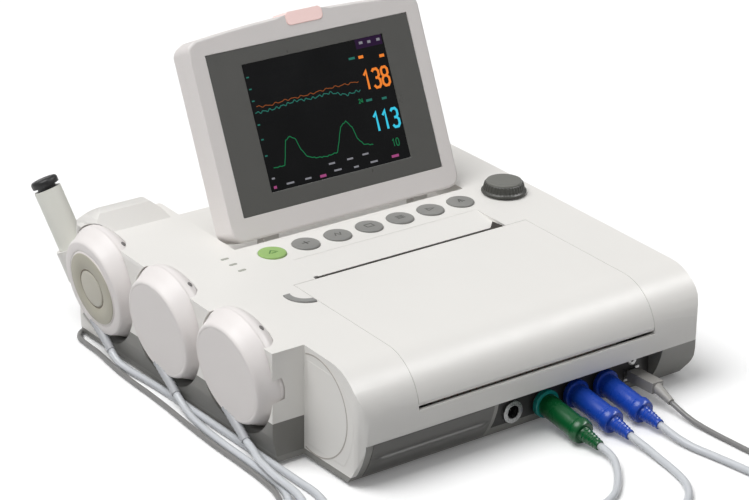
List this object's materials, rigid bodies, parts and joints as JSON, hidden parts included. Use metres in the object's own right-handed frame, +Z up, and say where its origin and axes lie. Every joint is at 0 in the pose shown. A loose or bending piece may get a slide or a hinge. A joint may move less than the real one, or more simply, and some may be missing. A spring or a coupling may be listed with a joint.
{
  "type": "fetal monitor",
  "caption": "Tabletop fetal monitor with a folding display, keys, a knob, a paper recorder under a lid, and belt transducers and an event marker parked at its left end.",
  "frame": {"origin": "on the table under the middle of the housing, whose outer faces are at X and Y plus or minus 149 mm", "axes": "+Z up, +Y to the back, +X to the right seen from the front"},
  "size_m": [0.3856, 0.6339, 0.2148],
  "materials": {
    "white_plastic": "fine satin moulded housing plastic",
    "dark_plastic": "satin dark grey moulded plastic",
    "grey_inner_plastic": "plain grey inner plastic",
    "black_plastic": "satin black plastic",
    "charcoal_plastic": "satin charcoal plastic with a turned top",
    "grey_key_plastic": "smooth grey key plastic",
    "green_key_rubber": "smooth pale green key plastic",
    "nickel": "nickel plated connector shell",
    "screw_steel": "plain steel",
    "black_rubber": "matt black rubber",
    "circuit_board": "green solder mask with parts",
    "ceramic": "ceramic strip on a plate",
    "gear_plastic": "natural nylon",
    "recording_paper": "fan-folded thermal paper",
    "light_pipe": "clear light pipe",
    "screen_glass": "satin charcoal glass around a clear window",
    "screen_black": "black display panel",
    "alarm_lens": "translucent red lamp lens",
    "transducer_face": "smooth sealed face plastic",
    "brass_disc": "electroded ceramic disc",
    "beige_plastic": "smooth beige plastic",
    "ivory_plastic": "smooth ivory plastic tube",
    "green_plug_plastic": "green plug boot",
    "blue_plug_plastic": "blue plug boot",
    "pale_cable": "translucent pale blue-grey cable jacket",
    "grey_cable": "grey cable jacket"
  },
  "bodies": {
    "housing": {"base_floor": "dark_plastic", "base_walls": "dark_plastic", "top_housing": "white_plastic", "transducer_bay": "white_plastic", "marker_holder": "white_plastic", "left_end_cap": "white_plastic", "connector_panel": "dark_plastic", "transducer_sockets": "nickel", "front_jacks": "nickel", "rubber_feet": "black_rubber", "housing_screws": "screw_steel", "main_board": "circuit_board", "power_supply": "circuit_board", "rear_connectors": "black_plastic", "speaker": "black_plastic", "printer_frame": "grey_inner_plastic", "print_head": "ceramic", "tear_bar": "screw_steel", "paper_motor": "screw_steel", "paper_pack": "recording_paper", "hinge_pins": "screw_steel", "key_board": "circuit_board", "status_lights": "light_pipe", "ultrasound_faces": "transducer_face", "ultrasound_backs": "white_plastic", "transducer_sensors": "brass_disc", "toco_face": "beige_plastic", "toco_back": "white_plastic", "marker_body": "ivory_plastic", "green_plug": "green_plug_plastic", "blue_plugs": "blue_plug_plastic", "marker_plug": "black_plastic", "front_cord_runs": "pale_cable", "front_cord_coil": "pale_cable", "middle_cord_runs": "pale_cable", "middle_cord_coil": "pale_cable", "rear_cord_runs": "pale_cable", "rear_cord_coil": "pale_cable", "marker_cord_runs": "grey_cable", "marker_cord_coil": "grey_cable"},
    "display": {"display_frame": "white_plastic", "display_glass": "screen_glass", "display_panel": "screen_black", "display_cover": "white_plastic", "display_screws": "screw_steel", "alarm_lamp": "alarm_lens"},
    "lid": {"paper_lid": "white_plastic"},
    "platen": {"platen_roller": "black_rubber"},
    "pinion": {"motor_pinion": "gear_plastic"},
    "latch": {"lid_latch": "grey_key_plastic"},
    "green_key": {"green_key": "green_key_rubber"},
    "knob": {"knob": "charcoal_plastic"},
    "pressure_pad": {"toco_pad": "beige_plastic"},
    "marker_button": {"marker_button": "black_plastic"},
    "grey_key_1": {"grey_key_1": "grey_key_plastic"},
    "grey_key_2": {"grey_key_2": "grey_key_plastic"},
    "grey_key_3": {"grey_key_3": "grey_key_plastic"},
    "grey_key_4": {"grey_key_4": "grey_key_plastic"},
    "grey_key_5": {"grey_key_5": "grey_key_plastic"},
    "grey_key_6": {"grey_key_6": "grey_key_plastic"}
  },
  "joints": [
    {"name": "display_hinge", "type": "hinge", "parent": "housing", "child": "display", "pos_m": [0.0098, 0.05795, 0.0853], "axis": [1, 0, 0], "range_deg": [-66.3, 23.7]},
    {"name": "lid_hinge", "type": "hinge", "parent": "housing", "child": "lid", "pos_m": [0.0123, -0.1452, 0.0494], "axis": [1, 0, 0], "range_deg": [0, 95]},
    {"name": "platen_spin", "type": "hinge", "parent": "lid", "child": "platen", "pos_m": [0.0123, -0.027, 0.0702], "axis": [1, 0, 0], "continuous": true},
    {"name": "pinion_spin", "type": "hinge", "parent": "housing", "child": "pinion", "pos_m": [0.0993, -0.027, 0.0564], "axis": [1, 0, 0], "continuous": true},
    {"name": "knob_turn", "type": "hinge", "parent": "housing", "child": "knob", "pos_m": [0.1247, 0.0285, 0.086], "axis": [0, 0, 1], "continuous": true},
    {"name": "latch_press", "type": "slide", "parent": "housing", "child": "latch", "axis": [0, 0, -1], "range_m": [0, 0.0012], "stiffness_N_per_m": 500, "springref_m": -0.0004},
    {"name": "green_key_press", "type": "slide", "parent": "housing", "child": "green_key", "axis": [0, 0, -1], "range_m": [0, 0.0012], "stiffness_N_per_m": 600, "springref_m": -0.0004},
    {"name": "grey_key_1_press", "type": "slide", "parent": "housing", "child": "grey_key_1", "axis": [0, 0, -1], "range_m": [0, 0.0012], "stiffness_N_per_m": 600, "springref_m": -0.0004},
    {"name": "grey_key_2_press", "type": "slide", "parent": "housing", "child": "grey_key_2", "axis": [0, 0, -1], "range_m": [0, 0.0012], "stiffness_N_per_m": 600, "springref_m": -0.0004},
    {"name": "grey_key_3_press", "type": "slide", "parent": "housing", "child": "grey_key_3", "axis": [0, 0, -1], "range_m": [0, 0.0012], "stiffness_N_per_m": 600, "springref_m": -0.0004},
    {"name": "grey_key_4_press", "type": "slide", "parent": "housing", "child": "grey_key_4", "axis": [0, 0, -1], "range_m": [0, 0.0012], "stiffness_N_per_m": 600, "springref_m": -0.0004},
    {"name": "grey_key_5_press", "type": "slide", "parent": "housing", "child": "grey_key_5", "axis": [0, 0, -1], "range_m": [0, 0.0012], "stiffness_N_per_m": 600, "springref_m": -0.0004},
    {"name": "grey_key_6_press", "type": "slide", "parent": "housing", "child": "grey_key_6", "axis": [0, 0, -1], "range_m": [0, 0.0012], "stiffness_N_per_m": 600, "springref_m": -0.0004},
    {"name": "marker_press", "type": "slide", "parent": "housing", "child": "marker_button", "axis": [0.2023, -0.3746, -0.9049], "range_m": [0, 0.002], "stiffness_N_per_m": 500, "springref_m": -0.0006},
    {"name": "pad_press", "type": "slide", "parent": "housing", "child": "pressure_pad", "axis": [0.9877, 0, 0.1564], "range_m": [0, 0.0008], "stiffness_N_per_m": 2500, "springref_m": -0.0004}
  ],
  "couplings": [
    {"joint": "pinion_spin", "follows": "platen_spin", "ratio": -0.6875}
  ]
}
